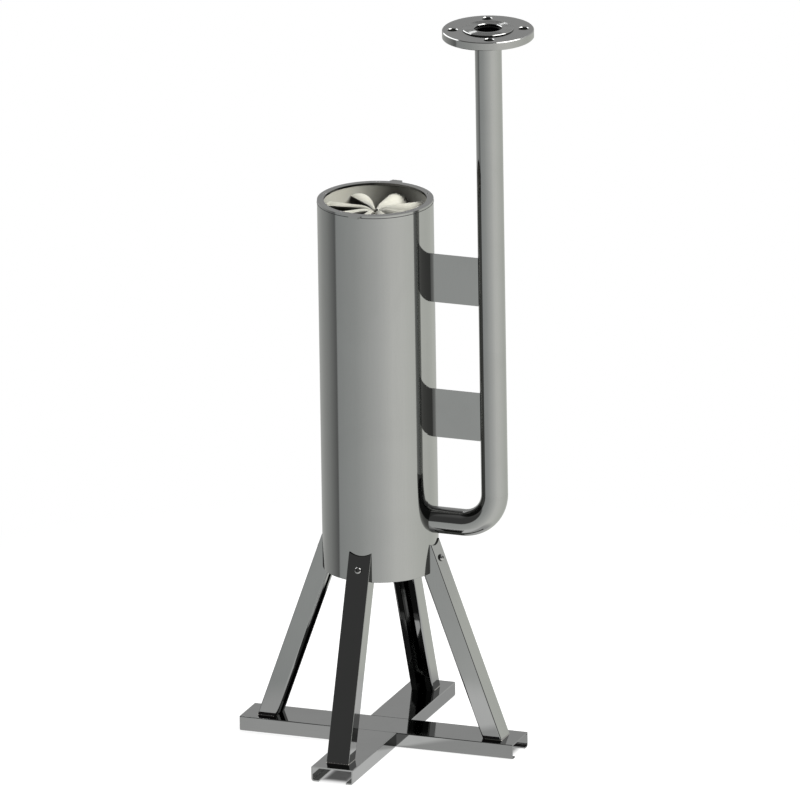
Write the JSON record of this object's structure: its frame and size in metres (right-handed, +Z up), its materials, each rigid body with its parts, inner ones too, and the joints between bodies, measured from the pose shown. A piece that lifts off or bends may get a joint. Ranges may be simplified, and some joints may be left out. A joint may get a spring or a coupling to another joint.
{
  "type": "gas-liquid aerator",
  "caption": "Static tube aerator: upright steel casing with a stack of turned-over vane mixers, a flanged side gas pipe and a splayed channel-leg stand on a cross base.",
  "frame": {"origin": "on the casing's axis, at the floor that the cross base stands on", "axes": "+Z up along the casing's axis, +X towards the gas pipe, +Y towards the back leg"},
  "size_m": [0.4462, 0.414, 1.0775],
  "materials": {
    "polished_steel": "polished, mirror-like",
    "fastener_steel": "bright turned",
    "cream_plastic": "moulded satin cream"
  },
  "bodies": {
    "stand": {"casing_tube": "polished_steel", "support_ledge": "polished_steel", "down_pipe": "polished_steel", "supply_bend": "polished_steel", "inlet_stub": "polished_steel", "outlet_bend": "polished_steel", "inlet_flange": "polished_steel", "bracket_lower": "polished_steel", "bracket_upper": "polished_steel", "base_beam": "polished_steel", "base_arm_front": "polished_steel", "base_arm_back": "polished_steel", "leg_right": "polished_steel", "leg_back": "polished_steel", "leg_left": "polished_steel", "leg_front": "polished_steel", "leg_lug_right": "polished_steel", "leg_lug_back": "polished_steel", "leg_lug_left": "polished_steel", "leg_lug_front": "polished_steel", "leg_screws": "fastener_steel"},
    "cartridge": {"retaining_ring": "polished_steel", "ring_screws": "fastener_steel", "sleeve_1": "cream_plastic", "sleeve_2": "cream_plastic", "sleeve_3": "cream_plastic", "vane_set_1": "cream_plastic", "vane_set_2": "cream_plastic", "vane_set_3": "cream_plastic"}
  },
  "joints": [
    {"name": "cartridge_lift", "type": "slide", "parent": "stand", "child": "cartridge", "axis": [0, 0, 1], "range_m": [0, 0.41]}
  ]
}
